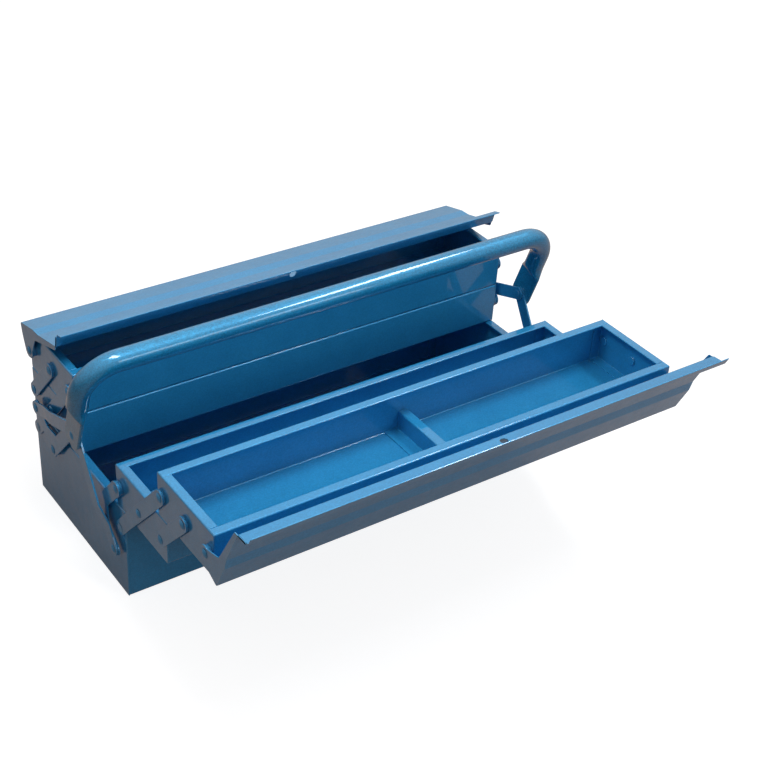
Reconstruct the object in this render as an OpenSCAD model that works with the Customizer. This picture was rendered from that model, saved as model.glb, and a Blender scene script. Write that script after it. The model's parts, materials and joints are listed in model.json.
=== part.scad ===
// Cantilever tool box: a deep base, two trays on each side that swing out on flat
// links, two hinged lids, and a tubular handle whose bars turn the bell cranks.
// X runs along the box, Y from front to rear, Z up; the origin is the middle of
// the underside. Millimetres.

/* [Body] */
// Length over the end panels
body_length = 520; // [420:1:600]
// Width of the base over its long walls
base_width = 205; // [190:1:230]
// Height of the base
base_height = 105; // [90:1:130]
// Height of one tray
tray_height = 47.5; // [44:0.5:56]
// Sheet thickness of base, trays and lids
sheet = 1; // [0.8:0.1:1.2]
// Width of the rims folded inward round every opening
rim_width = 9.5; // [7:0.5:11]
// Depth of the hem turned under each rim
hem_width = 5; // [3:0.5:6]
// Gap between the two tray stacks at the middle
middle_gap = 1.2; // [0.8:0.1:2]

/* [Linkage] */
// Distance between neighbouring pivots on one panel
pivot_pitch = 43; // [40:0.5:45]
// Height of the pivots above a tray's underside
pivot_height = 24.5; // [22:0.5:26]
// Width of the links and bell cranks
link_width = 15.5; // [14:0.5:15.5]
// Thickness of links, cranks and handle bars
link_sheet = 1.8; // [1.5:0.1:2]
// Radius of the pivot rivets' shanks
rivet_radius = 3; // [2.5:0.1:3.2]
// Radius of the rivet heads
head_radius = 5; // [4.5:0.1:6]
// Length of the bell crank's arm that carries the handle bar
crank_arm = 46.1; // [44:0.1:47]
// Angle between the two arms of a bell crank
crank_angle = 86.6; // [84:0.1:89]
// Length of a handle bar between its pins
bar_length = 116.8; // [114:0.1:120]
// Width of a handle bar
bar_width = 15; // [13:0.5:16]

/* [Lids] */
// Overhang of each lid beyond the end panels
lid_overhang = 4.5; // [4.4:0.1:4.8]
// Depth of the lid's hanging outer wall
lid_skirt = 13.4; // [13:0.1:14]
// Height of the lid's top above the closed tray
lid_rise = 4.8; // [4.5:0.1:8]
// Height that the raised lip has above the lid's top
lip_rise = 11.5; // [9:0.5:13]

/* [Handle] */
// Outer radius of the handle tube
tube_radius = 11; // [9:0.5:11]
// Wall of the handle tube
tube_wall = 1.5; // [1.2:0.1:2]
// Height of the grip's centre line above the handle pins
handle_height = 97; // [90:1:105]
// Radius of the tube's two bends
bend_radius = 36; // [30:1:45]

/* [Pose] */
// Swing of the front trays, in parts of their travel
front_open = 1; // [0:0.05:1]
// Swing of the rear trays, in parts of their travel
rear_open = 0; // [0:0.05:1]
// Opening of the front lid in degrees
front_lid_angle = 115; // [0:5:115]
// Opening of the rear lid in degrees
rear_lid_angle = 14; // [0:1:20]
// Lean of the handle toward the front in degrees
handle_lean = 19; // [0:1:25]

/* [Hidden] */
$fn = 48;

// Clearances between pieces that move against each other.
face_gap = 0.3;
running_fit = 0.05;
stack_gap = 0.3;

// Places of the pivots. Y is counted outward from the middle of the box.
end_x = body_length / 2;
tray_inner = middle_gap / 2;
tray_outer = base_width / 2;
tray_width = tray_outer - tray_inner;
tray_pitch = tray_height + stack_gap;
middle_pivot = (tray_inner + tray_outer) / 2;
inner_pivot = middle_pivot - pivot_pitch;
outer_pivot = middle_pivot + pivot_pitch;
base_pivot_z = base_height + stack_gap + pivot_height - tray_pitch;
lower_z = base_height + stack_gap;
upper_z = lower_z + tray_pitch;
lower_pivot_z = lower_z + pivot_height;
upper_pivot_z = upper_z + pivot_height;
stack_top = upper_z + tray_height;

// The links swing from one side of the upright to the other.
link_length = norm([pivot_pitch, tray_pitch]);
closed_lean = atan2(pivot_pitch, tray_pitch);
full_swing = 2 * closed_lean;

// Layers on the end panels, counted outward from the panel's face.
near_layer = face_gap;
washer = 1;
link_layer = washer + face_gap;
low_head_layer = link_layer + link_sheet + face_gap;
low_head = 1.7;
flat_head_layer = near_layer + link_sheet + face_gap;
flat_head = 0.6;
crank_layer = link_layer + link_sheet + face_gap;
high_head_layer = crank_layer + link_sheet + face_gap;
high_head = 1.5;
bar_layer = high_head_layer;
bar_head_layer = bar_layer + link_sheet + face_gap;
pin_tail_layer = high_head_layer + high_head + face_gap;
pin_tail = 0.8;
rear_bar_layer = pin_tail_layer + pin_tail + face_gap;
front_bar_layer = rear_bar_layer + link_sheet + face_gap;
handle_layer = front_bar_layer + link_sheet + face_gap;
flat_thick = 4;
handle_head_layer = handle_layer + flat_thick;
lid_layer = lid_overhang - sheet;
lid_head_layer = lid_overhang + face_gap;

// A long link starts close to the base's panel and steps out between these distances.
step_start = 13;
step_end = 22;

// Handle bars are bent outward between these distances from their crank pin.
joggle_start = 24;
joggle_end = 46;

// Flattened ends of the handle tube.
arm_x = end_x + handle_layer + flat_thick / 2;
flat_width = 30;
flat_top = 34;
crease_length = 14;
flat_tip = 12;

// Divider in the front upper tray.
divider_height = 20.5;
divider_flange = 10;
divider_foot = 15;

// Where the two lower tray pins and the tray stack stand at a given swing.
function lean(open) = full_swing * open - closed_lean;
function stage_shift(open) =
    [link_length * (sin(lean(open)) + sin(closed_lean)),
     link_length * (cos(lean(open)) - cos(closed_lean))];
function crank_pin(open) =
    [middle_pivot + crank_arm * sin(lean(open) + crank_angle),
     base_pivot_z + crank_arm * cos(lean(open) + crank_angle)];
function flip(p) = [-p[0], p[1]];

// The handle pin is the upper meeting point of two equal bars.
front_pin = flip(crank_pin(front_open));
rear_pin = crank_pin(rear_open);
pin_span = rear_pin - front_pin;
pin_rise = sqrt(pow(bar_length, 2) - pow(norm(pin_span) / 2, 2));
handle_pin = (front_pin + rear_pin) / 2 + pin_rise * [-pin_span[1], pin_span[0]] / norm(pin_span);

// A thin band along a polyline: its points, then the same line one sheet inside.
function unit(v) = v / norm(v);
function left_of(a, b) = [-unit(b - a)[1], unit(b - a)[0]];
function inset(line, i, thick) =
    let (before = left_of(line[max(i - 1, 0)], line[max(i, 1)]),
         last = len(line) - 1,
         after = left_of(line[min(i, last - 1)], line[min(i + 1, last)]))
    line[i] + thick * (before + after) / (1 + before * after);
function band(line, thick) =
    concat(line, [for (i = [len(line) - 1:-1:0]) inset(line, i, thick)]);

// Lid outline when shut: hanging edge, top, step down, and a lip folded up and over.
lid_wall = tray_outer + 3.1;
lid_top = stack_top + lid_rise;
lip_y = 0.8;
lip_width = 8.5;
lip_foot = 17;
step_drop = 2.4;
step_y = 73;
lip_hole = 4;
function lid_line() = [
    [lid_wall, lid_top - lid_skirt],
    [lid_wall, lid_top - 2],
    [lid_wall - 0.6, lid_top - 0.6],
    [lid_wall - 2, lid_top],
    [step_y, lid_top],
    [step_y - 12, lid_top - step_drop],
    [lip_foot, lid_top - step_drop],
    [lip_y + lip_width, lid_top + lip_rise],
    [lip_y, lid_top + lip_rise]
];

enamel = [0.10, 0.42, 0.68];

// ---- Placing ----

// Draws children, made in the outward (Y, Z) plane and raised outward, at one end.
module at_end(end) {
    mirror([end < 0 ? 1 : 0, 0, 0])
        translate([end_x, 0, 0])
            rotate([90, 0, 90])
                children();
}

// Front pieces are the rear ones mirrored in Y.
module on_side(side) {
    mirror([0, side < 0 ? 1 : 0, 0])
        children();
}

// Moves a tray stage to where the links hold it.
module stage(count, open) {
    translate([0, count * stage_shift(open)[0], count * stage_shift(open)[1]])
        children();
}

// ---- Folded sheet boxes ----

// Cross section of a U folded from one sheet, with hemmed rims.
module channel_section(y0, y1, height) {
    difference() {
        translate([y0, 0])
            square([y1 - y0, height]);
        translate([y0 + sheet, sheet])
            square([y1 - y0 - 2 * sheet, height - 3 * sheet]);
        translate([y0 + rim_width, sheet])
            square([y1 - y0 - 2 * rim_width, height]);
        translate([y0 + sheet, sheet])
            square([rim_width - hem_width - sheet, height - 2 * sheet]);
        translate([y1 - rim_width + hem_width, sheet])
            square([rim_width - hem_width - sheet, height - 2 * sheet]);
    }
}

module shell(y0, y1, z, height) {
    half = end_x - sheet;
    translate([-half, 0, z])
        rotate([90, 0, 90])
            linear_extrude(2 * half)
                channel_section(y0, y1, height);
}

// A pressed end panel: plate, three lap flanges and a hemmed rim between the long rims.
module end_panel(end, y0, y1, z, height, holes) {
    lap = 11;
    inner0 = y0 + sheet;
    inner1 = y1 - sheet;
    mirror([end < 0 ? 1 : 0, 0, 0]) {
        translate([end_x - sheet, 0, z])
            rotate([90, 0, 90])
                difference() {
                    linear_extrude(sheet)
                        translate([y0, 0])
                            square([y1 - y0, height]);
                    for (p = holes)
                        translate([p[0], p[1] - z, -sheet])
                            cylinder(r = rivet_radius, h = 3 * sheet);
                }
        translate([end_x - sheet - lap, inner0, z + sheet])
            cube([lap, inner1 - inner0, sheet]);
        for (y = [inner0, inner1 - sheet])
            translate([end_x - sheet - lap, y, z + sheet])
                cube([lap, sheet, height - 4 * sheet - hem_width]);
        translate([end_x - rim_width, y0 + rim_width, z + height - sheet])
            cube([rim_width - sheet, y1 - y0 - 2 * rim_width, sheet]);
        translate([end_x - rim_width, y0 + rim_width, z + height - 2 * sheet])
            cube([hem_width, y1 - y0 - 2 * rim_width, sheet]);
    }
}

function column(ys, z) = [for (y = ys) [y, z]];
base_holes = concat(column([middle_pivot, outer_pivot], base_pivot_z),
                    column([-middle_pivot, -outer_pivot], base_pivot_z));
lower_holes = column([inner_pivot, middle_pivot, outer_pivot], lower_pivot_z);
upper_holes = column([inner_pivot, middle_pivot, outer_pivot], upper_pivot_z);

module base_end(end) {
    color(enamel)
        end_panel(end, -tray_outer, tray_outer, 0, base_height, base_holes);
}

module tray_shell(z) {
    color(enamel)
        shell(tray_inner, tray_outer, z, tray_height);
}

module tray_end(end, z, holes) {
    color(enamel)
        end_panel(end, tray_inner, tray_outer, z, tray_height, holes);
}

// ---- Rivets and spacers ----

// A domed head: a shallow cap turned about the rivet's axis.
module dome(radius, height) {
    ball = (pow(radius, 2) + pow(height, 2)) / (2 * height);
    rotate_extrude()
        intersection() {
            translate([0, height - ball])
                circle(r = ball, $fn = 180);
            square([radius, height]);
        }
}

// Shank from inside the panel out to the head, with a button tail. The bell cranks
// sweep over the outer base rivets, whose heads are therefore flat and thin.
module rivet(head_layer, head_height) {
    tail = 1.5;
    translate([0, 0, -sheet - tail])
        cylinder(r = rivet_radius + 1.5, h = tail);
    translate([0, 0, -sheet])
        cylinder(r = rivet_radius, h = sheet + head_layer);
    translate([0, 0, head_layer])
        dome(head_radius, head_height);
}

module rivet_row(points, head_layer, head_height) {
    color(enamel)
        for (end = [-1, 1])
            at_end(end)
                for (p = points)
                    translate([p[0], p[1], 0])
                        rivet(head_layer, head_height);
}

// Washer that fills the space between a panel and an outer layer, short of it by the gap.
module spacer_row(points, layer) {
    radius = link_width / 2 - 0.5;
    color(enamel)
        for (end = [-1, 1])
            at_end(end)
                for (p = points)
                    translate([p[0], p[1], 0])
                        difference() {
                            cylinder(r = radius, h = layer - face_gap);
                            translate([0, 0, -1])
                                cylinder(r = rivet_radius, h = layer + 2);
                        }
}

// ---- Links ----

// A strip bent along a line of (distance, layer) points.
module bent_strip(line, thick, width) {
    last = len(line) - 1;
    translate([0, width / 2, 0])
        rotate([90, 0, 0])
            linear_extrude(width)
                polygon(concat(line, [for (i = [last:-1:0]) line[i] + [0, thick]]));
}

module bar_outline(length, width) {
    translate([0, -width / 2])
        square([length, width]);
    circle(r = width / 2);
    translate([length, 0])
        circle(r = width / 2);
}

// Draws children along X from a pivot, turned to the lean of the links.
module along_link(start, open) {
    translate([start[0], start[1], 0])
        rotate([0, 0, 90 - lean(open)])
            children();
}

module pivot_holes(stops) {
    for (s = stops)
        translate([s, 0, -1])
            cylinder(r = rivet_radius + running_fit, h = crank_layer + 2);
}

// Base, lower tray and upper tray hang on one straight bar. Seen from its edge it
// leaves the base close to the panel and steps out to the layer of the tie links.
module long_link(end, open) {
    reach = link_width / 2;
    top = 2 * link_length;
    line = [[-reach, near_layer], [step_start, near_layer],
            [step_end, link_layer], [top + reach, link_layer]];
    color(enamel)
        at_end(end)
            along_link([outer_pivot, base_pivot_z], open)
                difference() {
                    intersection() {
                        bent_strip(line, link_sheet, link_width);
                        linear_extrude(crank_layer)
                            bar_outline(top, link_width);
                    }
                    pivot_holes([0, link_length, top]);
                }
}

module tie_link(end, open) {
    color(enamel)
        at_end(end)
            along_link([outer_pivot, lower_pivot_z], open)
                difference() {
                    translate([0, 0, link_layer])
                        linear_extrude(link_sheet)
                            bar_outline(link_length, link_width);
                    pivot_holes([0, link_length]);
                }
}

// Bell crank: one arm carries the lower tray, the other the handle bar. Its eyes are
// a little wider than the arms, and the web's edge runs straight across the corner.
function turned(p) =
    [p[0] * cos(crank_angle) + p[1] * sin(crank_angle),
     p[1] * cos(crank_angle) - p[0] * sin(crank_angle)];

module crank_outline() {
    crank_eye = 0.4;
    web = 24;
    half = link_width / 2;
    for (p = [[0, 0], [link_length, 0], turned([crank_arm, 0])])
        translate(p)
            circle(r = half + crank_eye);
    polygon([
        turned([0, -half]), turned([crank_arm, -half]),
        turned([crank_arm, half]), turned([web, half]),
        [web, -half], [link_length, -half], [link_length, half], [0, half]
    ]);
}

module crank(end, open) {
    pin = turned([crank_arm, 0]);
    holes = [[0, 0, running_fit], [link_length, 0, running_fit], [pin[0], pin[1], 0]];
    color(enamel)
        at_end(end)
            translate([middle_pivot, base_pivot_z, crank_layer])
                rotate([0, 0, 90 - lean(open)])
                    difference() {
                        linear_extrude(link_sheet)
                            crank_outline();
                        for (h = holes)
                            translate([h[0], h[1], -1])
                                cylinder(r = rivet_radius + h[2], h = link_sheet + 2);
                    }
}

// ---- Handle bars ----

// Drawn along X with its crank pin at the origin: flat on the crank, then bent out.
module bar_shape(out, crank_hole) {
    reach = bar_width / 2;
    line = [[-reach, bar_layer], [joggle_start, bar_layer],
            [joggle_end, out], [bar_length + reach, out]];
    difference() {
        intersection() {
            bent_strip(line, link_sheet, bar_width);
            linear_extrude(out + 2 * link_sheet)
                bar_outline(bar_length, bar_width);
        }
        translate([0, 0, -1])
            cylinder(r = crank_hole, h = out);
        translate([bar_length, 0, out - 1])
            cylinder(r = rivet_radius + running_fit, h = link_sheet + 2);
    }
}

module handle_bar(end, pin, out, crank_hole) {
    aim = handle_pin - pin;
    color(enamel)
        at_end(end)
            translate([pin[0], pin[1], 0])
                rotate([0, 0, atan2(aim[1], aim[0])])
                    bar_shape(out, crank_hole);
}

// Pins that join cranks and bars; each starts at the given layer.
module crank_pin_row(pin, from) {
    color(enamel)
        for (end = [-1, 1])
            at_end(end)
                translate([pin[0], pin[1], from]) {
                    cylinder(r = rivet_radius, h = bar_head_layer - from);
                    translate([0, 0, bar_head_layer - from])
                        dome(head_radius, high_head);
                }
}

// ---- Lids ----

module lid_flange_outline() {
    line = lid_line();
    gusset = 8;
    strip = 11.4;
    tip_strip = 7.4;
    tip = 0.25 * line[6] + 0.75 * line[7];
    translate([outer_pivot, upper_pivot_z])
        circle(r = gusset);
    polygon([
        [outer_pivot - gusset, upper_pivot_z],
        [outer_pivot + gusset, upper_pivot_z],
        line[0], line[1], line[2], line[3], line[4], line[5], line[6], tip,
        [lip_foot + 3 * sheet, lid_top - tip_strip],
        [step_y, lid_top - strip]
    ]);
}

module lid_sheet() {
    lid_length = body_length + 2 * lid_overhang;
    difference() {
        translate([-lid_length / 2, 0, 0])
            rotate([90, 0, 90])
                linear_extrude(lid_length)
                    polygon(band(lid_line(), sheet));
        translate([0, 0, lid_top + lip_rise / 2])
            rotate([-90, 0, 0])
                cylinder(r = lip_hole, h = 2 * lip_foot);
    }
}

// A lid and its two end flanges, turned open about the outer upper pivots.
module lid(side, open, angle) {
    color(enamel)
        on_side(side)
            stage(2, open)
                translate([0, outer_pivot, upper_pivot_z])
                    rotate([-angle, 0, 0])
                        translate([0, -outer_pivot, -upper_pivot_z]) {
                            lid_sheet();
                            for (end = [-1, 1])
                                at_end(end)
                                    translate([0, 0, lid_layer])
                                        difference() {
                                            linear_extrude(sheet)
                                                lid_flange_outline();
                                            translate([outer_pivot, upper_pivot_z, -1])
                                                cylinder(r = rivet_radius + running_fit, h = sheet + 2);
                                        }
                        }
}

// ---- Handle ----

// Solid run of the tube: grip, two bends and two arms, grown or shrunk by its radius.
module tube_run(radius) {
    grip = 2 * (arm_x - bend_radius);
    arm = handle_height - bend_radius - flat_top - crease_length;
    translate([-grip / 2, 0, handle_height])
        rotate([0, 90, 0])
            cylinder(r = radius, h = grip);
    for (end = [-1, 1])
        mirror([end < 0 ? 1 : 0, 0, 0]) {
            translate([arm_x - bend_radius, 0, handle_height - bend_radius])
                rotate([90, 0, 0])
                    rotate_extrude(angle = 90)
                        translate([bend_radius, 0])
                            circle(r = radius);
            translate([arm_x, 0, flat_top + crease_length])
                cylinder(r = radius, h = arm);
        }
}

// Flattened end with the pin hole, and the crease that leads up to the round tube.
module flattened_end(end) {
    mirror([end < 0 ? 1 : 0, 0, 0]) {
        translate([arm_x, 0, 0])
            rotate([90, 0, 90])
                translate([0, 0, -flat_thick / 2])
                    difference() {
                        linear_extrude(flat_thick) {
                            translate([-flat_width / 2, 0])
                                square([flat_width, flat_top]);
                            intersection() {
                                circle(r = flat_width / 2);
                                translate([-flat_width / 2, -flat_tip])
                                    square([flat_width, flat_width]);
                            }
                        }
                        translate([0, 0, -1])
                            cylinder(r = rivet_radius, h = flat_thick + 2);
                    }
        hull() {
            translate([arm_x, 0, flat_top + crease_length - 0.5])
                cylinder(r = tube_radius, h = 0.5);
            translate([arm_x - flat_thick / 2, -flat_width / 2, flat_top - 0.5])
                cube([flat_thick, flat_width, 0.5]);
        }
    }
}

module at_handle() {
    translate([0, handle_pin[0], handle_pin[1]])
        rotate([handle_lean, 0, 0])
            children();
}

// ---- Sub-parts ----

module base_shell() {
    color(enamel)
        shell(-tray_outer, tray_outer, 0, base_height);
}

module base_rivets() {
    inner = column([-middle_pivot, middle_pivot], base_pivot_z);
    outer = column([-outer_pivot, outer_pivot], base_pivot_z);
    rivet_row(inner, high_head_layer, high_head);
    rivet_row(outer, flat_head_layer, flat_head);
}

module base_spacers() {
    spacer_row(column([-middle_pivot, middle_pivot], base_pivot_z), crank_layer);
}

module lower_rivets(side, open) {
    on_side(side)
        stage(1, open) {
            rivet_row(column([inner_pivot], lower_pivot_z), high_head_layer, high_head);
            rivet_row(column([middle_pivot, outer_pivot], lower_pivot_z), low_head_layer, low_head);
        }
}

module lower_spacers(side, open) {
    on_side(side)
        stage(1, open) {
            spacer_row(column([inner_pivot], lower_pivot_z), crank_layer);
            spacer_row(column([middle_pivot, outer_pivot], lower_pivot_z), link_layer);
        }
}

module upper_rivets(side, open) {
    on_side(side)
        stage(2, open) {
            rivet_row(column([inner_pivot, middle_pivot], upper_pivot_z), low_head_layer, low_head);
            rivet_row(column([outer_pivot], upper_pivot_z), lid_head_layer, low_head);
        }
}

module upper_spacers(side, open) {
    on_side(side)
        stage(2, open) {
            spacer_row(column([inner_pivot, middle_pivot], upper_pivot_z), link_layer);
            spacer_row(column([outer_pivot], upper_pivot_z), lid_layer);
        }
}

// Z-shaped divider: foot, wall and top flange, spot-welded across the tray.
module front_divider() {
    foot_y = tray_inner + sheet;
    width = tray_width - 2 * sheet;
    floor_z = upper_z + sheet;
    color(enamel)
        on_side(-1)
            stage(2, front_open)
                translate([0, foot_y, floor_z]) {
                    translate([-divider_foot, 0, 0])
                        cube([divider_foot, width, sheet]);
                    cube([sheet, width, divider_height]);
                    translate([0, 0, divider_height - sheet])
                        cube([divider_flange, width, sheet]);
                }
}

module handle_tube() {
    color(enamel)
        at_handle() {
            difference() {
                tube_run(tube_radius);
                tube_run(tube_radius - tube_wall);
            }
            flattened_end(-1);
            flattened_end(1);
        }
}

module handle_pins() {
    from = pin_tail_layer;
    color(enamel)
        for (end = [-1, 1])
            at_end(end)
                translate([handle_pin[0], handle_pin[1], 0]) {
                    translate([0, 0, from])
                        cylinder(r = head_radius - 0.5, h = pin_tail);
                    translate([0, 0, from])
                        cylinder(r = rivet_radius, h = handle_head_layer - from);
                    translate([0, 0, handle_head_layer])
                        dome(head_radius, high_head);
                }
}

module front(count) {
    on_side(-1)
        stage(count, front_open)
            children();
}

module rear(count) {
    stage(count, rear_open)
        children();
}

base_shell();
base_end(-1);  // base_end_left
base_end(1);  // base_end_right
base_rivets();
base_spacers();
front(1) tray_shell(lower_z);  // front_lower_shell
front(1) tray_end(-1, lower_z, lower_holes);  // front_lower_end_left
front(1) tray_end(1, lower_z, lower_holes);  // front_lower_end_right
lower_rivets(-1, front_open);  // front_lower_rivets
lower_spacers(-1, front_open);  // front_lower_spacers
rear(1) tray_shell(lower_z);  // rear_lower_shell
rear(1) tray_end(-1, lower_z, lower_holes);  // rear_lower_end_left
rear(1) tray_end(1, lower_z, lower_holes);  // rear_lower_end_right
lower_rivets(1, rear_open);  // rear_lower_rivets
lower_spacers(1, rear_open);  // rear_lower_spacers
front(2) tray_shell(upper_z);  // front_upper_shell
front(2) tray_end(-1, upper_z, upper_holes);  // front_upper_end_left
front(2) tray_end(1, upper_z, upper_holes);  // front_upper_end_right
upper_rivets(-1, front_open);  // front_upper_rivets
upper_spacers(-1, front_open);  // front_upper_spacers
front_divider();
rear(2) tray_shell(upper_z);  // rear_upper_shell
rear(2) tray_end(-1, upper_z, upper_holes);  // rear_upper_end_left
rear(2) tray_end(1, upper_z, upper_holes);  // rear_upper_end_right
upper_rivets(1, rear_open);  // rear_upper_rivets
upper_spacers(1, rear_open);  // rear_upper_spacers
on_side(-1) long_link(-1, front_open);  // front_long_link_left
on_side(-1) long_link(1, front_open);  // front_long_link_right
long_link(-1, rear_open);  // rear_long_link_left
long_link(1, rear_open);  // rear_long_link_right
front(1) tie_link(-1, front_open);  // front_tie_link_left
front(1) tie_link(1, front_open);  // front_tie_link_right
rear(1) tie_link(-1, rear_open);  // rear_tie_link_left
rear(1) tie_link(1, rear_open);  // rear_tie_link_right
on_side(-1) crank(-1, front_open);  // front_crank_left
on_side(-1) crank(1, front_open);  // front_crank_right
crank_pin_row(front_pin, crank_layer);  // front_crank_pins
crank(-1, rear_open);  // rear_crank_left
crank(1, rear_open);  // rear_crank_right
handle_bar(-1, front_pin, front_bar_layer, rivet_radius + running_fit);  // front_bar_left
handle_bar(1, front_pin, front_bar_layer, rivet_radius + running_fit);  // front_bar_right
handle_bar(-1, rear_pin, rear_bar_layer, rivet_radius);  // rear_bar_left
handle_bar(1, rear_pin, rear_bar_layer, rivet_radius);  // rear_bar_right
crank_pin_row(rear_pin, bar_layer);  // rear_bar_pins
lid(-1, front_open, front_lid_angle);  // front_lid
lid(1, rear_open, rear_lid_angle);  // rear_lid
handle_tube();
handle_pins();
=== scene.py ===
import json
import math

import bmesh
import bpy
import numpy as np
from mathutils import Matrix, Vector


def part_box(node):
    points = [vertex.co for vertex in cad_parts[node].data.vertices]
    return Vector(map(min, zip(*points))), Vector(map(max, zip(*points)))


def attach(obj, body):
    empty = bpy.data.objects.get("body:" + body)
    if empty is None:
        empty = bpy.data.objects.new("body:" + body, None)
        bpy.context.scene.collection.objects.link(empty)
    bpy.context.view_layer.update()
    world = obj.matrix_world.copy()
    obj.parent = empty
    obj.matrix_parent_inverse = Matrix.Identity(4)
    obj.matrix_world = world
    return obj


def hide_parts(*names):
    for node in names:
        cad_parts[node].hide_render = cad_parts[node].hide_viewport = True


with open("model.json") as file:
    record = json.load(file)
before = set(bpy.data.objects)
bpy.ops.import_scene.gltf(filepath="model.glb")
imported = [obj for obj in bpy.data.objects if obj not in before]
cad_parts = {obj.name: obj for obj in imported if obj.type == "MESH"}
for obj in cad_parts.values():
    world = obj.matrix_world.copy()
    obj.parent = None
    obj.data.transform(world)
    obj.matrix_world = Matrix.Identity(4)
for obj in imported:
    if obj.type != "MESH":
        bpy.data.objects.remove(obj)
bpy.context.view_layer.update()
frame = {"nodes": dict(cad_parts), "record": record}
mm = 0.001

meshing = dict(
    edgeSteps=4,  # points over a rounded sheet edge
    bendSteps=7,  # points over a bend
    plateSteps=5,  # points over a plate's rounded edge
    weld=2e-6,  # m, closer points are one
    nodeWeld=1e-6,
    flat=0.6,  # degrees, faces that turn less are joined
    sharp=40,  # degrees, folds that turn more keep their edge
    nodeSharp=35,
    bevelFrom=35,
)


# Distances and depths of a rounded edge: a quarter circle from the very edge
# (distance 0, depth = radius) to the flat (distance = radius, depth 0).
def roundedEdge(radius, steps=meshing["edgeSteps"]):
    turn = np.linspace(math.pi / 2, 0, steps)
    return radius * (1 - np.sin(turn)), radius * (1 - np.cos(turn))


# Centre line of a folded sheet. Straight runs join the corners, and each inner corner
# is an arc of its radius, tangent to both runs: centre - side * radius * normal(turn).
# Gives the points, the normals to the left of the way, and how thin the two edges get.
def foldLine(corners, radii, edge=0.25, steps=meshing["bendSteps"]):
    corners = np.array(corners, float)
    way = np.diff(corners, axis=0)
    way /= np.linalg.norm(way, axis=1)[:, None]
    left = np.stack([-way[:, 1], way[:, 0]], 1)
    distance, depth = roundedEdge(edge)
    points = [corners[0] + distance[:, None] * way[0]]
    normals = [np.repeat(left[:1], len(distance), 0)]
    for i, radius in enumerate(radii):
        a, b = way[i], way[i + 1]
        turn = math.atan2(a[0] * b[1] - a[1] * b[0], a @ b)
        side = math.copysign(1, turn)
        start = corners[i + 1] - a * radius * math.tan(abs(turn) / 2)
        centre = start + side * radius * left[i]
        angle = np.linspace(0, turn, steps)
        cos, sin = np.cos(angle), np.sin(angle)
        n = left[i]
        normal = np.stack([n[0] * cos - n[1] * sin, n[0] * sin + n[1] * cos], 1)
        points.append(centre - side * radius * normal)
        normals.append(normal)
    points.append(corners[-1] - distance[::-1, None] * way[-1])
    normals.append(np.repeat(left[-1:], len(distance), 0))
    points, normals = np.concatenate(points), np.concatenate(normals)
    thin = np.zeros(len(points))
    thin[: len(depth)] = depth
    thin[-len(depth):] = depth[::-1]
    return points, normals, thin


# Two grids of the same size, an outer and an inner face, closed round their borders:
# each row runs along the outer face and back along the inner one, and joins the next row.
def skin(outer, inner):
    rows, cols = outer.shape[:2]
    around = 2 * cols
    verts = np.concatenate([outer, inner[:, ::-1]], 1).reshape(-1, 3)
    r, c = np.meshgrid(np.arange(rows - 1), np.arange(around), indexing="ij")
    nextC = (c + 1) % around
    above = r + 1
    sides = np.stack(
        [r * around + c, r * around + nextC, above * around + nextC, above * around + c], -1
    ).reshape(-1, 4)
    i = np.arange(cols - 1)
    cap = np.stack([i, around - 1 - i, around - 2 - i, i + 1], 1)
    return verts, np.concatenate([sides, cap, cap[:, ::-1] + (rows - 1) * around]).tolist()


# A folded sheet: its line carried from start to end, where outer and inner face are
# point +- normal * (half a sheet - the larger of the two edges' depths there).
def foldedSheet(line, thick, start, end, edge=0.25, between=()):
    points, normals, thin = line
    distance, depth = roundedEdge(edge)
    along = np.concatenate([start + distance, between, end - distance[::-1]])
    depth = np.concatenate([depth, np.zeros(len(between)), depth[::-1]])
    half = thick / 2 - np.maximum(depth[:, None], thin[None])
    flat = np.broadcast_to(along[:, None, None], half.shape + (1,))
    outer = np.concatenate([flat, points[None] + normals[None] * half[..., None]], 2)
    inner = np.concatenate([flat, points[None] - normals[None] * half[..., None]], 2)
    return skin(outer, inner)


# A flat plate: its outline from one side to the other, with the outer edge rounded.
# Each ring is the outline moved inward along its normals by the edge's depth.
def plate(outline, low, high, radius):
    points, normals, _ = outline
    distance, depth = roundedEdge(radius, meshing["plateSteps"])
    rise = np.concatenate([[low], high - distance[::-1]])
    inset = np.concatenate([[0], depth[::-1]])
    rings = points[None] + normals[None] * inset[:, None, None]
    flat = np.broadcast_to(rise[:, None, None], rings.shape[:2] + (1,))
    rows, cols = rings.shape[:2]
    r, c = np.meshgrid(np.arange(rows - 1), np.arange(cols), indexing="ij")
    nextC = (c + 1) % cols
    above = r + 1
    sides = np.stack(
        [r * cols + c, r * cols + nextC, above * cols + nextC, above * cols + c], -1
    )
    caps = [list(range(cols))[::-1], list(range((rows - 1) * cols, rows * cols))]
    return np.concatenate([flat, rings], 2).reshape(-1, 3), sides.reshape(-1, 4).tolist() + caps


# Millimetre parts joined as one piece that rides on a body and stands for some nodes.
def makePiece(name, parts, body, nodes, material, place=None):
    verts, faces, count = [], [], 0
    for partVerts, partFaces in parts:
        verts.append(partVerts)
        faces += [[i + count for i in f] for f in partFaces]
        count += len(partVerts)
    verts = np.concatenate(verts)
    if place is not None:
        verts = place(verts)
    mesh = bpy.data.meshes.new(name)
    mesh.from_pydata((verts * mm).tolist(), [], faces)
    bm = bmesh.new()
    bm.from_mesh(mesh)
    bmesh.ops.remove_doubles(bm, verts=bm.verts, dist=meshing["weld"])
    bmesh.ops.recalc_face_normals(bm, faces=bm.faces)
    bm.to_mesh(mesh)
    bm.free()
    return finishPiece(name, mesh, body, nodes, material)


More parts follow.
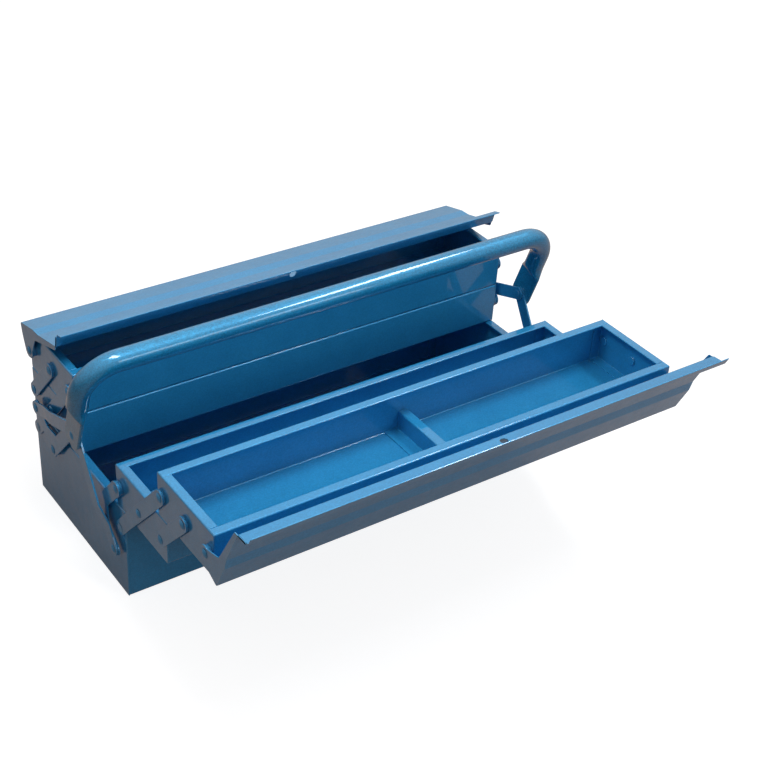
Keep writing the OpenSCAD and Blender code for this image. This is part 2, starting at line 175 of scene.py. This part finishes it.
# Smooth faces between sharp folds, an optional bevel in millimetres, and the piece's
# body, nodes and slot.
def finishPiece(name, mesh, body, nodes, material, bevel=0, sharp=meshing["sharp"]):
    mesh.materials.clear()
    mesh.materials.append(material)
    mesh.shade_smooth()
    mesh.set_sharp_from_angle(angle=math.radians(sharp))
    piece = bpy.data.objects.new(name, mesh)
    bpy.context.collection.objects.link(piece)
    if bevel:
        rounding = piece.modifiers.new("roundedEdges", "BEVEL")
        rounding.width = bevel * mm
        rounding.segments = 2
        rounding.limit_method = "ANGLE"
        rounding.angle_limit = math.radians(meshing["bevelFrom"])
        rounding.use_clamp_overlap = True
        rounding.harden_normals = False
    flatten = piece.modifiers.new("flatFaces", "WEIGHTED_NORMAL")
    flatten.keep_sharp = True
    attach(piece, body)
    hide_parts(*nodes)
    return piece


# A node's own shape: its loose triangles merged, flat faces joined, edges rounded.
def cadPiece(name, node, body, material, bevel):
    bm = bmesh.new()
    bm.from_mesh(frame["nodes"][node].data)
    bmesh.ops.remove_doubles(bm, verts=bm.verts, dist=meshing["nodeWeld"])
    bmesh.ops.dissolve_limit(
        bm, angle_limit=math.radians(meshing["flat"]), verts=bm.verts, edges=bm.edges
    )
    mesh = bpy.data.meshes.new(name)
    bm.to_mesh(mesh)
    bm.free()
    return finishPiece(name, mesh, body, [node], material, bevel, meshing["nodeSharp"])


# An sRGB hex colour as the linear values that a shader takes.
def colour(text):
    c = np.array([int(text[i : i + 2], 16) for i in (1, 3, 5)]) / 255
    linear = np.where(c <= 0.04045, c / 12.92, ((c + 0.055) / 1.055) ** 2.4)
    return (*linear.tolist(), 1.0)


# Adds a node, sets its values and links its inputs.
def addNode(tree, kind, inputs=None, **settings):
    node = tree.nodes.new(kind)
    for key, value in settings.items():
        setattr(node, key, value)
    for key, value in (inputs or {}).items():
        if isinstance(value, bpy.types.NodeSocket):
            tree.links.new(value, node.inputs[key])
        else:
            node.inputs[key].default_value = value
    return node


# Glossy metallic stoving enamel on sheet steel: a clear, wet-looking coat over a blue
# with fine flakes, a slight orange peel, and lighter paint along the edges, partly thinned paint
# and partly a painted highlight.
def metallicEnamel(name, s):
    material = bpy.data.materials.new(name)
    material.use_nodes = True
    tree = material.node_tree
    tree.nodes.clear()
    place = addNode(tree, "ShaderNodeTexCoord").outputs["Object"]
    clouds = addNode(
        tree, "ShaderNodeTexNoise", {"Vector": place, "Scale": 1 / s["cloudSize"], "Detail": 4.0}
    )
    ground = addNode(
        tree,
        "ShaderNodeMix",
        {
            "Factor": clouds.outputs["Fac"],
            6: colour(s["deep"]),
            7: colour(s["bright"]),
        },
        data_type="RGBA",
    )
    flakes = addNode(
        tree, "ShaderNodeTexVoronoi", {"Vector": place, "Scale": 1 / s["flakeSize"]}
    )
    flakeGrey = addNode(tree, "ShaderNodeSeparateColor", {0: flakes.outputs["Color"]})
    sparkle = addNode(
        tree,
        "ShaderNodeMapRange",
        {0: flakeGrey.outputs[0], 3: 1 - s["sparkle"], 4: 1 + s["sparkle"]},
    )
    flaked = addNode(
        tree,
        "ShaderNodeVectorMath",
        {0: ground.outputs[2], 3: sparkle.outputs[0]},
        operation="SCALE",
    )
    bent = addNode(tree, "ShaderNodeBevel", {"Radius": s["edge"]}, samples=6)
    facing = addNode(tree, "ShaderNodeNewGeometry")
    same = addNode(
        tree,
        "ShaderNodeVectorMath",
        {0: bent.outputs[0], 1: facing.outputs["Normal"]},
        operation="DOT_PRODUCT",
    )
    # Edge mask for the lighter edge colour: partly thinned paint, partly a painted highlight along
    # the edges.
    edge = addNode(
        tree,
        "ShaderNodeMapRange",
        {0: same.outputs["Value"], 1: s["edgeDot"][0], 2: s["edgeDot"][1], 3: 0.0, 4: 1.0},
    )
    rubbed = addNode(
        tree, "ShaderNodeTexNoise", {"Vector": place, "Scale": 1 / s["rubSize"], "Detail": 5.0}
    )
    patchy = addNode(
        tree,
        "ShaderNodeMapRange",
        {0: rubbed.outputs["Fac"], 1: s["rubAt"][0], 2: s["rubAt"][1], 3: s["rubLeast"], 4: 1.0},
    )
    edgeWearAndHighlight = addNode(
        tree,
        "ShaderNodeMath",
        {0: edge.outputs[0], 1: patchy.outputs[0]},
        operation="MULTIPLY",
    )
    wornAndHighlit = addNode(
        tree,
        "ShaderNodeMix",
        {"Factor": edgeWearAndHighlight.outputs[0], 6: flaked.outputs[0], 7: colour(s["thin"])},
        data_type="RGBA",
    )
    hazed = addNode(
        tree,
        "ShaderNodeMapRange",
        {
            0: rubbed.outputs["Fac"],
            1: 0.3,
            2: 0.7,
            3: s["rough"] - s["haze"],
            4: s["rough"] + s["haze"],
        },
    )
    peel = addNode(
        tree, "ShaderNodeTexNoise", {"Vector": place, "Scale": 1 / s["peelSize"], "Detail": 2.0}
    )
    bump = addNode(
        tree,
        "ShaderNodeBump",
        {"Strength": 1.0, "Distance": s["peelDepth"], "Height": peel.outputs["Fac"]},
    )
    paint = addNode(
        tree,
        "ShaderNodeBsdfPrincipled",
        {
            "Base Color": wornAndHighlit.outputs[2],
            "Metallic": s["metal"],
            "Roughness": hazed.outputs[0],
            "Specular IOR Level": s["under"],
            "Coat Weight": 1.0,
            "Coat Roughness": s["coatRough"],
            "Coat IOR": s["coatIor"],
            "Normal": bump.outputs[0],
            "Coat Normal": bump.outputs[0],
        },
    )
    addNode(tree, "ShaderNodeOutputMaterial", {0: paint.outputs[0]})
    return material


enamelLook = dict(
    deep="#217FB3",  # blue between the flakes
    bright="#2C90C6",  # blue where the coat lies thick
    thin="#5FAED6",  # lighter paint on edges: thinned paint and a painted highlight
    cloudSize=0.04,  # m, soft unevenness of the spray
    flakeSize=0.0011,  # m, coarser than real flakes so that they show
    sparkle=0.10,  # share by which a flake is lighter or darker
    edge=0.0008,  # m, reach of the lighter edge paint (thinned paint and painted highlight) from an edge
    edgeDot=(0.985, 0.86),  # the normals' dot product where it starts and is full
    rubSize=0.012,  # m, patches where the lighter edges (thinned paint and painted highlight) show, and duller coat
    rubAt=(0.38, 0.62),
    rubLeast=0.25,
    peelSize=0.003,  # m, orange peel
    peelDepth=0.00002,
    metal=0.2,
    rough=0.35,
    haze=0.06,
    coatIor=1.5,
    coatRough=0.04,
    under=0.1,  # gloss of the flakes' layer below the coat
)
bodyEnamel = metallicEnamel("metallicBlueEnamel", enamelLook)
tubeEnamel = metallicEnamel(
    "metallicBlueEnamelTube",  # thicker, so deeper and with more glitter
    {**enamelLook, "deep": "#15719E", "bright": "#2085B2", "sparkle": 0.22},
)
print("materials made")

tray = dict(
    sheet=1.0,  # mm, as all lengths here
    rim=9.5,
    hem=5.0,
    hemGap=0.04,  # between the hem and the rim above it
    hemBend=0.519,
    rimBend=1.3,
    floorBend=1.7,
    foldEdge=0.25,
    plateEdge=0.8,
    halfLength=259.0,
    endX=260.0,
    lap=11.0,  # depth of an end panel's flange inside the shell
    lapBend=1.6,
    lapGap=0.02,
    lapEnd=0.6,
)


# Hem and rim of a wall with its outer face at wall, from the hem's end to the top bend;
# way is 1 where the rim lies on the higher side.
def rimCorners(wall, way, top):
    t, half = tray, tray["sheet"] / 2
    under = top - 3 * half - t["hemGap"]
    return [
        (wall + way * (t["rim"] - t["hem"]), under),
        (wall + way * (t["rim"] - half), under),
        (wall + way * (t["rim"] - half), top - half),
        (wall + way * half, top - half),
    ]


# A U folded from one sheet with hemmed rims: hem, rim, wall, floor, and the same
# mirrored about the middle, y -> y0 + y1 - y.
def trayShell(lo, hi):
    t, half = tray, tray["sheet"] / 2
    y0, y1, z0, z1 = lo.y / mm, hi.y / mm, lo.z / mm, hi.z / mm
    left = rimCorners(y0, 1, z1) + [(y0 + half, z0 + half)]
    right = [(y0 + y1 - y, z) for y, z in left[::-1]]
    bends = [t["hemBend"], t["hemBend"], t["rimBend"], t["floorBend"]]
    line = foldLine(left + right, bends + bends[::-1])
    return foldedSheet(line, t["sheet"], -t["halfLength"], t["halfLength"])


# A pressed end: one sheet folded from hem to rim and down as a plate, with the plate's
# outer edge rounded. Each point of the fold has its own width, because the rim ends where
# the long rims begin: Y = middle +- (half width - edge * (1 - sin turn)), and each face
# lies half a sheet - edge * (1 - cos turn) from the fold's line.
def trayEnd(lo, hi, end):
    t, half = tray, tray["sheet"] / 2
    y0, y1, z0, z1 = lo.y / mm, hi.y / mm, lo.z / mm, hi.z / mm
    x1, plateRound = t["endX"], t["plateEdge"]
    points, normals, thin = foldLine(
        rimCorners(x1, -1, z1) + [(x1 - half, z0)], [t["hemBend"], t["hemBend"], t["rimBend"]]
    )
    isPlate = (points[:, 0] > x1 - half - t["rimBend"] + 0.05).astype(float)
    drop = np.clip(plateRound - (points[:, 1] - z0), 0, plateRound) * isPlate
    thin = np.where(isPlate > 0, 0, thin)
    halfWidth = (y1 - y0) / 2 - t["rim"] * (1 - isPlate)
    edge = t["foldEdge"] + (plateRound - t["foldEdge"]) * isPlate
    steps = meshing["plateSteps"]
    turn = np.linspace(math.pi / 2, 0, steps)
    turn = np.concatenate([turn, turn[::-1]])[:, None]
    side = np.repeat([-1.0, 1.0], steps)[:, None]
    across = (y0 + y1) / 2 + side * (halfWidth - edge * (1 - np.sin(turn)))
    depth = edge * (1 - np.cos(turn))
    lost = np.minimum(np.maximum(depth, thin) + drop**2 / plateRound, 0.9 * t["sheet"])
    outerHalf = half - lost
    innerHalf = half - np.maximum(depth, thin) * (1 - isPlate)
    outer = points[None] + normals[None] * outerHalf[..., None]
    inner = points[None] - normals[None] * innerHalf[..., None]
    face = [np.stack([p[..., 0], across, p[..., 1]], -1) for p in (outer, inner)]
    inset = t["sheet"] + half + t["lapGap"]
    top = z1 - 3 * t["sheet"] - t["hem"]
    flange = foldLine(
        [(y0 + inset, top), (y0 + inset, z0 + inset), (y1 - inset, z0 + inset), (y1 - inset, top)],
        [t["lapBend"], t["lapBend"]],
    )
    lap = foldedSheet(flange, t["sheet"], x1 - t["sheet"] - t["lap"], x1 - t["lapEnd"])
    parts = [skin(*face), lap]
    if end < 0:
        parts = [(v * [-1, 1, 1], f) for v, f in parts]
    return parts


stacks = {
    "base": "base",
    "front_lower": "front_lower_tray",
    "front_upper": "front_upper_tray",
    "rear_lower": "rear_lower_tray",
    "rear_upper": "rear_upper_tray",
}
for stack, body in stacks.items():
    lo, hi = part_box(stack + "_shell")
    makePiece(stack + "Shell", [trayShell(lo, hi)], body, [stack + "_shell"], bodyEnamel)
    for end, word in ((-1, "left"), (1, "right")):
        node = stack + "_end_" + word
        panel = trayEnd(*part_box(node), end)
        makePiece(stack + "End" + word.title(), panel, body, [node], bodyEnamel)
print("base and trays folded")

lid = dict(
    sheet=1.0,  # mm, as all lengths here
    pivot=(94.55, 177.6),  # Y outward and Z when shut
    wall=105.6,
    top=205.4,
    skirt=13.4,
    stepY=(73.0, 61.0),
    stepDrop=2.4,
    foot=17.0,  # where the riser starts
    lipY=(9.3, 0.8),  # where it ends, and the top flange's free edge
    lipRise=11.5,
    riserInset=(0.25, 0.35),  # half a sheet in, measured along Y at the slope's ends
    halfLength=264.5,
    bend=1.8,
    bends=5,
    hole=4.0,
    window=8.8,  # half the length of the riser's flat run that the hole is cut in
    endGap=0.8,  # from the sheet's end to the flange's outer face
    seamY=90.0,
    tipAt=0.75,  # the flange's tip, as a share of the riser
    tipWidth=1.3,
    flangeLow=(3.0, 7.4, 11.4),
    ear=8.0,  # reach round the pivot
    flangeBends=[1.5, 1.5, 1.5, 0.4, 0.4, 2.0, 5.0, 2.0, 7.2, 7.9, 1.0, 2.35],
    flangeEdge=0.35,
)


# Centre line of the lid's sheet when shut: skirt, top, step, riser and top flange, each
# half a sheet inside the lid's faces.
def lidCorners():
    d, inset = lid, lid["sheet"] / 2
    low, high = d["top"] - d["stepDrop"] - inset, d["top"] + d["lipRise"] - inset
    return [
        (d["wall"] - inset, d["top"] - d["skirt"]),
        (d["wall"] - inset, d["top"] - inset),
        (d["stepY"][0], d["top"] - inset),
        (d["stepY"][1], low),
        (d["foot"] + d["riserInset"][0], low),
        (d["lipY"][0] + d["riserInset"][1], high),
        (d["lipY"][1], high),
    ]


# Outline of an end flange: along the lid's faces, up the riser to a blunt tip, back below
# them, and round the pivot. It starts and ends in the top, where the two ends meet.
def flangeOutline():
    d, ear = lid, lid["ear"]
    y, z = d["pivot"]
    low = d["top"] - d["stepDrop"]
    foot, fold = np.array([d["foot"], low]), np.array([d["lipY"][0], d["top"] + d["lipRise"]])
    tip = (1 - d["tipAt"]) * foot + d["tipAt"] * fold
    across = np.array([fold[1] - foot[1], foot[0] - fold[0]]) / np.linalg.norm(fold - foot)
    corners = [
        (d["seamY"], d["top"]),
        (d["stepY"][0], d["top"]),
        (d["stepY"][1], low),
        (d["foot"], low),
        tip,
        tip + d["tipWidth"] * across,
        (d["foot"] + d["flangeLow"][0], d["top"] - d["flangeLow"][1]),
        (d["stepY"][0], d["top"] - d["flangeLow"][2]),
        (y - ear, z),
        (y - ear, z - ear),
        (y + ear, z - ear),
        (d["wall"], d["top"] - d["skirt"]),
        (d["wall"], d["top"]),
        (d["seamY"], d["top"]),
    ]
    points, normals, thin = foldLine(corners, d["flangeBends"])
    keep = slice(meshing["edgeSteps"] - 1, -meshing["edgeSteps"])  # one point at the seam
    return points[keep], normals[keep], thin[keep]


# Turns a shut lid open about its outer pivot and mirrors the front one: with the point
# (dy, dz) from the pivot, Y = side * (pivot + shift + dy cos + dz sin), Z = pivot - dy sin
# + dz cos.
def lidPlace(side, shift, angle):
    y, z = lid["pivot"]
    c, s = math.cos(math.radians(angle)), math.sin(math.radians(angle))

    def place(v):
        dy, dz = v[:, 1] - y, v[:, 2] - z
        return np.stack([v[:, 0], side * (y + shift + dy * c + dz * s), z - dy * s + dz * c], 1)

    return place


# Opens a round hole in the flat run after column col, between the two middle stations:
# centre + radius * (cos * X + sin * along the run), on both faces, joined by a wall.
def punched(sheet, cols, col, rows=(4, 5), count=32):
    verts, faces = sheet
    around = 2 * cols
    turn = 2 * math.pi * np.arange(count) / count
    circles, start = [], len(verts)
    first, second = rows[0] * around, rows[1] * around
    for c0, c1 in ((col, col + 1), (around - 1 - col, around - 2 - col)):
        a, b, c, d = first + c0, second + c0, second + c1, first + c1
        gone = {a, b, c, d}
        faces = [f for f in faces if set(f) != gone]
        run = verts[d] - verts[a]
        run = run / np.linalg.norm(run)
        middle = (verts[a] + verts[b] + verts[c] + verts[d]) / 4
        cos, sin = np.cos(turn)[:, None], np.sin(turn)[:, None]
        ring = middle + lid["hole"] * (cos * [1, 0, 0] + sin * run)
        k = start + len(circles) * count + np.arange(count)
        q = count // 4
        faces.append([d, a] + k[q : 3 * q + 1][::-1].tolist())
        faces.append([b, c] + k[: q + 1][::-1].tolist() + k[3 * q :][::-1].tolist())
        faces += [[a, b, int(k[3 * q])], [c, d, int(k[q])]]
        circles.append(ring)
    i = start + np.arange(count)
    j = start + (np.arange(count) + 1) % count
    faces += np.stack([i, j, j + count, i + count], 1).tolist()
    return np.concatenate([verts, *circles]), faces


# The folded sheet with the hole in its riser, and a flange at each end.
def makeLid(name, node, body, side, shift, angle):
    d = lid
    reach, end = d["halfLength"] - d["endGap"], d["halfLength"]
    line = foldLine(lidCorners(), [d["bend"]] * d["bends"])
    sheet = foldedSheet(line, d["sheet"], -reach, reach, between=(-d["window"], d["window"]))
    riser = meshing["edgeSteps"] + 4 * meshing["bendSteps"] - 1  # last column before its run
    right = plate(flangeOutline(), end - d["sheet"], end, d["flangeEdge"])
    left = (right[0] * [-1, 1, 1], right[1])
    parts = [punched(sheet, len(line[0]), riser), left, right]
    makePiece(name, parts, body, [node], bodyEnamel, lidPlace(side, shift, angle))


makeLid("frontLid", "front_lid", "front_lid_body", side=-1, shift=172.0, angle=115.0)
makeLid("rearLid", "rear_lid", "rear_lid_body", side=1, shift=0.0, angle=14.0)
print("lids folded")

divider = dict(sheet=1.0, web=15.5, bend=1.3)  # mm, web from the foot's edge


# A Z folded from one sheet: foot, web and top, carried across the tray.
def dividerSheet(lo, hi):
    half = divider["sheet"] / 2
    x0, x1, z0, z1 = lo.x / mm, hi.x / mm, lo.z / mm + half, hi.z / mm - half
    web = x0 + divider["web"]
    line = foldLine([(x0, z0), (web, z0), (web, z1), (x1, z1)], [divider["bend"]] * 2)
    verts, faces = foldedSheet(line, divider["sheet"], lo.y / mm, hi.y / mm)
    return verts[:, [1, 0, 2]], faces


crossSheet = dividerSheet(*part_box("front_divider"))
makePiece("frontDivider", [crossSheet], "front_upper_tray", ["front_divider"], bodyEnamel)
print("divider folded")

handle = dict(
    pin=(-26.511, 152.812),  # mm, as all lengths here
    lean=19.0,  # degrees to the rear
    armX=274.6,
    height=97.0,
    bend=36.0,
    radius=10.99,
    flat=(2.0, 15.0),  # half thickness and half width
    flatTop=34.0,
    crease=14.0,  # length over which the tube is pressed flat
    swell=1.7,  # power that gives the crease its curve
    tip=12.0,
    bendSteps=25,
    armSteps=9,
    around=33,
)


# Tube along grip, bends and arms, in its own upright frame. Its section at each point is
# a stadium, a circle of radius a split and moved apart by b - a: out = a cos phi across
# the sheet and apart = b - a + a sin phi. It is round on the tube, flat at the pins.
def handleTube():
    h = handle
    turn = np.linspace(0, math.pi / 2, h["bendSteps"])
    straight = h["armX"] - h["bend"]
    x = np.concatenate([[0], straight + h["bend"] * np.sin(turn)])
    z = np.concatenate([[h["height"]], h["height"] - h["bend"] * (1 - np.cos(turn))])
    tilt = np.concatenate([[0], turn])
    down = np.concatenate(
        [
            h["flatTop"] + h["crease"] * (1 - np.linspace(0, 1, h["armSteps"])),
            [h["flatTop"] - 4, 10],  # along the flat arm
            -h["tip"] * np.sin(np.linspace(0, math.pi / 2, h["armSteps"])),
        ]
    )
    x = np.concatenate([x, np.full(len(down), h["armX"])])
    z = np.concatenate([z, down])
    tilt = np.concatenate([tilt, np.full(len(down), math.pi / 2)])
    flatness = np.clip((h["flatTop"] + h["crease"] - z) / h["crease"], 0, 1)
    flatness[: len(turn) + 1] = 0  # grip and bend
    swell = flatness ** h["swell"]
    a = h["radius"] + (h["flat"][0] - h["radius"]) * swell
    b = h["radius"] + (h["flat"][1] - h["radius"]) * swell
    b = np.where(z < 0, np.sqrt(np.maximum(h["flat"][1] ** 2 - z**2, 1)), b)
    x, z, tilt = (np.concatenate([s * v[:0:-1], v]) for s, v in ((-1, x), (1, z), (-1, tilt)))
    a, b = (np.concatenate([v[:0:-1], v]) for v in (a, b))
    phi = np.linspace(0, math.pi, h["around"])
    phi = np.concatenate([[0.0], phi[:-1] + phi[1] / 2, [math.pi]])
    cosPhi, sinPhi = np.cos(phi), np.sin(phi)
    out = a[:, None] * cosPhi
    apart = np.where(sinPhi > 1e-6, 1.0, 0.0)[None] * (b - a)[:, None] + a[:, None] * sinPhi
    grid = []
    for side in (1, -1):
        px = x[:, None] + out * np.sin(tilt)[:, None]
        pz = z[:, None] + out * np.cos(tilt)[:, None]
        grid.append(np.stack([px, side * apart, pz], -1))
    return skin(*grid)


# Leans the tube about its pins: Y = pin + y cos - z sin, Z = pin + y sin + z cos.
def handlePlace(v):
    c, s = math.cos(math.radians(handle["lean"])), math.sin(math.radians(handle["lean"]))
    y, z = handle["pin"]
    return np.stack([v[:, 0], y + v[:, 1] * c - v[:, 2] * s, z + v[:, 1] * s + v[:, 2] * c], 1)


makePiece("handleTube", [handleTube()], "handle", ["handle_tube"], tubeEnamel, handlePlace)
print("handle bent")

linkage = dict(
    stripEdge=0.35,  # mm, rounding of links, cranks and bars
    headEdge=0.25,  # of rivets, pins and washers
    strips=("link", "crank_l", "crank_r", "bar_l", "bar_r"),
)

# Rivets, pins, washers, links, cranks and bars keep their nodes' own shapes.
bodyOf = {n: b for b, nodes in frame["record"]["behaviour"]["bodies"].items() for n in nodes}
done = ("_shell", "_end_left", "_end_right", "_lid", "_tube", "_divider")
for node in frame["nodes"]:
    if not node.endswith(done):
        words = node.split("_")
        name = words[0] + "".join(w.title() for w in words[1:])
        strip = any(word in node for word in linkage["strips"])
        edge = linkage["stripEdge"] if strip else linkage["headEdge"]
        cadPiece(name, node, bodyOf[node], bodyEnamel, edge)
print("linkage rounded")

paper = dict(
    reach=6.0,  # m
    low=-0.0003,
    fibres=900.0,  # per m
    seen=("#9C9C9E", "#A4A4A5"),
    glow=0.86,  # keeps the ground near white where no shadow lies
    bounce="#828284",  # what diffuse light finds
    mirrored="#A8968A",  # what glossy surfaces show of it
    mirroredGlow=("#FFE2CC", 0.12),
)


# Matt white backdrop paper: the eye gets a pale ground that keeps the shadow.
def floorSheet():
    mesh = bpy.data.meshes.new("floor")
    reach, low = paper["reach"], paper["low"]
    mesh.from_pydata(
        [(-reach, -reach, low), (reach, -reach, low), (reach, reach, low), (-reach, reach, low)],
        [],
        [(0, 1, 2, 3)],
    )
    floor = bpy.data.objects.new("floor", mesh)
    bpy.context.collection.objects.link(floor)
    material = bpy.data.materials.new("palePaper")
    material.use_nodes = True
    tree = material.node_tree
    tree.nodes.clear()
    path = addNode(tree, "ShaderNodeLightPath")
    fibre = addNode(tree, "ShaderNodeTexNoise", {"Scale": paper["fibres"], "Detail": 3.0})
    tone = addNode(
        tree,
        "ShaderNodeMix",
        {
            "Factor": fibre.outputs["Fac"],
            6: colour(paper["seen"][0]),
            7: colour(paper["seen"][1]),
        },
        data_type="RGBA",
    )
    matt = addNode(tree, "ShaderNodeBsdfDiffuse", {"Color": tone.outputs[2]})
    glow = addNode(
        tree, "ShaderNodeEmission", {"Color": colour("#FFFFFF"), "Strength": paper["glow"]}
    )
    both = addNode(tree, "ShaderNodeAddShader", {0: matt.outputs[0], 1: glow.outputs[0]})
    dim = addNode(tree, "ShaderNodeBsdfDiffuse", {"Color": colour(paper["bounce"])})
    warm = addNode(tree, "ShaderNodeBsdfDiffuse", {"Color": colour(paper["mirrored"])})
    warmColour, warmGlow = paper["mirroredGlow"]
    mirrored = addNode(
        tree, "ShaderNodeEmission", {"Color": colour(warmColour), "Strength": warmGlow}
    )
    mirror = addNode(tree, "ShaderNodeAddShader", {0: warm.outputs[0], 1: mirrored.outputs[0]})
    other = addNode(
        tree,
        "ShaderNodeMixShader",
        {0: path.outputs["Is Glossy Ray"], 1: dim.outputs[0], 2: mirror.outputs[0]},
    )
    pick = addNode(
        tree,
        "ShaderNodeMixShader",
        {0: path.outputs["Is Camera Ray"], 1: other.outputs[0], 2: both.outputs[0]},
    )
    addNode(tree, "ShaderNodeOutputMaterial", {0: pick.outputs[0]})
    mesh.materials.append(material)


studio = dict(
    sky=0.28,  # diffuse light from above
    skyWay=(0.12, -0.35, 0.929),  # unit way to its brightest part
    skyFrom=-0.2,  # dot product with that way where the sky is darkest
    skyLeast=0.05,
    shine=1.7,  # what glossy surfaces see above them
    horizon=0.6,
    middle=(0.0, -0.06, 0.12),  # m, what the lamps point at
    # Lamps: way from the box, distance and size in m, power in W.
    overhead=dict(way=(0.493, -0.154, 0.855), away=2.4, size=(1.2, 0.22), power=18.0),
    broad=dict(way=(0.3, -0.85, 0.42), away=1.8, size=(0.8, 0.4), power=3.4),
    near=dict(way=(-0.24, -0.15, 0.95), away=0.7, size=(0.3, 0.14), power=2.4),
)


# Soft studio: a sky that is brightest toward skyWay for diffuse light, a gradient from
# horizon to zenith for glossy surfaces, and plain white for the eye.
def studioWorld():
    world = bpy.data.worlds.new("paleStudio")
    bpy.context.scene.world = world
    world.use_nodes = True
    tree = world.node_tree
    tree.nodes.clear()
    path = addNode(tree, "ShaderNodeLightPath")
    way = addNode(tree, "ShaderNodeTexCoord").outputs["Generated"]
    height = addNode(tree, "ShaderNodeSeparateXYZ", {0: way}).outputs[2]
    toward = addNode(
        tree, "ShaderNodeVectorMath", {0: way, 1: studio["skyWay"]}, operation="DOT_PRODUCT"
    )
    lift = addNode(
        tree,
        "ShaderNodeMapRange",
        {
            0: toward.outputs["Value"],
            1: studio["skyFrom"],
            2: 1.0,
            3: studio["skyLeast"],
            4: 2 * studio["sky"],
        },
    )
    soft = addNode(
        tree, "ShaderNodeBackground", {"Color": colour("#FFFFFF"), "Strength": lift.outputs[0]}
    )
    glint = addNode(
        tree,
        "ShaderNodeMapRange",
        {0: height, 1: 0.0, 2: 1.0, 3: studio["horizon"], 4: studio["shine"]},
    )
    shine = addNode(
        tree, "ShaderNodeBackground", {"Color": colour("#F2F0EC"), "Strength": glint.outputs[0]}
    )
    white = addNode(tree, "ShaderNodeBackground", {"Color": colour("#FFFFFF"), "Strength": 1.0})
    lit = addNode(
        tree,
        "ShaderNodeMixShader",
        {0: path.outputs["Is Glossy Ray"], 1: soft.outputs[0], 2: shine.outputs[0]},
    )
    last = addNode(
        tree,
        "ShaderNodeMixShader",
        {0: path.outputs["Is Camera Ray"], 1: lit.outputs[0], 2: white.outputs[0]},
    )
    addNode(tree, "ShaderNodeOutputWorld", {0: last.outputs[0]})


# A lamp that faces the middle of the open box.
def softbox(name, s):
    lamp = bpy.data.lights.new(name, "AREA")
    lamp.shape = "RECTANGLE"
    lamp.size, lamp.size_y = s["size"]
    lamp.energy = s["power"]
    head = bpy.data.objects.new(name, lamp)
    way = Vector(s["way"]).normalized()
    head.location = Vector(studio["middle"]) + way * s["away"]
    head.rotation_mode = "QUATERNION"
    head.rotation_quaternion = way.to_track_quat("Z", "Y")
    bpy.context.collection.objects.link(head)


floorSheet()
studioWorld()
softbox("overheadSoftbox", studio["overhead"])
softbox("broadSoftbox", studio["broad"])
softbox("nearSoftbox", studio["near"])

view = dict(
    azimuth=-36.4424,  # degrees, 0 looks along Y
    elevation=33.8663,
    roll=3.7915,
    lens=72.0,
    sensor=36.0,
    place=(-0.73352, -1.13390, 1.02016),
)


# The camera's axes: ahead from azimuth and elevation, right level, both turned by roll.
def makeCamera():
    az, el, roll = (math.radians(view[k]) for k in ("azimuth", "elevation", "roll"))
    ahead = Vector((-math.sin(az) * math.cos(el), math.cos(az) * math.cos(el), -math.sin(el)))
    right = Vector((math.cos(az), math.sin(az), 0))
    up = right.cross(ahead)
    right, up = (
        math.cos(roll) * right + math.sin(roll) * up,
        -math.sin(roll) * right + math.cos(roll) * up,
    )
    data = bpy.data.cameras.new("camera")
    data.lens = view["lens"]
    data.sensor_width = view["sensor"]
    camera = bpy.data.objects.new("camera", data)
    bpy.context.collection.objects.link(camera)
    turned = Matrix((right, up, -ahead)).transposed().to_4x4()
    camera.matrix_world = Matrix.Translation(view["place"]) @ turned
    bpy.context.scene.camera = camera


makeCamera()
bpy.context.scene.view_settings.view_transform = "Standard"
bpy.context.view_layer.update()
print("scene ready")
